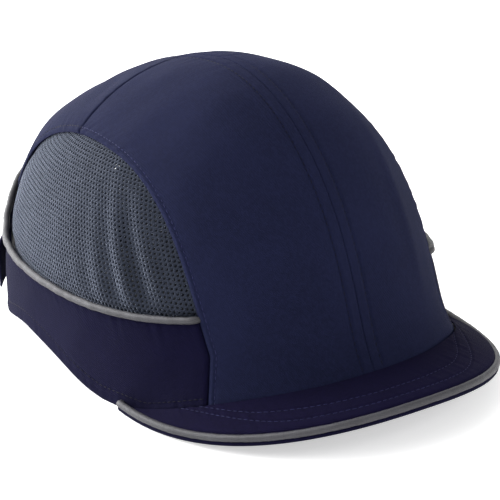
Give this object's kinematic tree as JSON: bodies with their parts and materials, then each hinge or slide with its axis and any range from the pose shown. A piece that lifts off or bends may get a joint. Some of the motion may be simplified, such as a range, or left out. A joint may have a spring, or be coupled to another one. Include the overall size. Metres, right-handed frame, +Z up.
{
  "type": "bump cap",
  "caption": "Navy cloth bump cap with a short stiff brim, mesh side panels, reflective piping, a rear hook-and-loop strap and a removable vented shell insert with foam pads.",
  "frame": {"origin": "middle of the cap's bounding box, on the surface that the cap stands on", "axes": "+Z up through the crown, -Y out over the brim, -X to the wearer's right"},
  "size_m": [0.1722, 0.2758, 0.1305],
  "materials": {
    "cloth": "navy twill, fine weave, soft sheen",
    "band": "darker navy twill",
    "mesh": "grey-blue polyester mesh with fine round holes",
    "reflective": "grey retro-reflective piping",
    "board": "black polyethylene board",
    "sweatband": "dark brushed towelling",
    "strap": "navy twill strap",
    "loop": "dark looped pile",
    "hook": "dark moulded hooks",
    "shell": "black moulded ABS, fine grain",
    "foam": "charcoal closed-cell foam"
  },
  "bodies": {
    "cap": {"front_panel_left": "cloth", "front_panel_right": "cloth", "rear_panel": "cloth", "brim_top_cover": "cloth", "brim_under_cover": "cloth", "side_band_left": "band", "side_band_right": "band", "brim_binding": "band", "opening_binding": "band", "centre_seam_tape": "band", "mesh_panel_left": "mesh", "mesh_panel_right": "mesh", "side_piping": "reflective", "brim_piping": "reflective", "brim_board": "board", "sweatband": "sweatband", "strap_base": "strap", "strap_anchor": "strap", "loop_patch": "loop"},
    "insert": {"insert_shell": "shell", "foam_pad_front": "foam", "foam_pad_crown": "foam", "foam_pad_left": "foam", "foam_pad_right": "foam", "foam_pad_rear": "foam"},
    "strap": {"strap_tongue": "strap", "hook_patch": "hook"}
  },
  "joints": [
    {"name": "insert_pull", "type": "slide", "parent": "cap", "child": "insert", "axis": [0, 0, -1], "range_m": [0, 0.14]},
    {"name": "strap_peel", "type": "hinge", "parent": "cap", "child": "strap", "pos_m": [-0.04934, 0.11975, 0.0192], "axis": [0, 0, 1], "range_deg": [0, 80]}
  ]
}
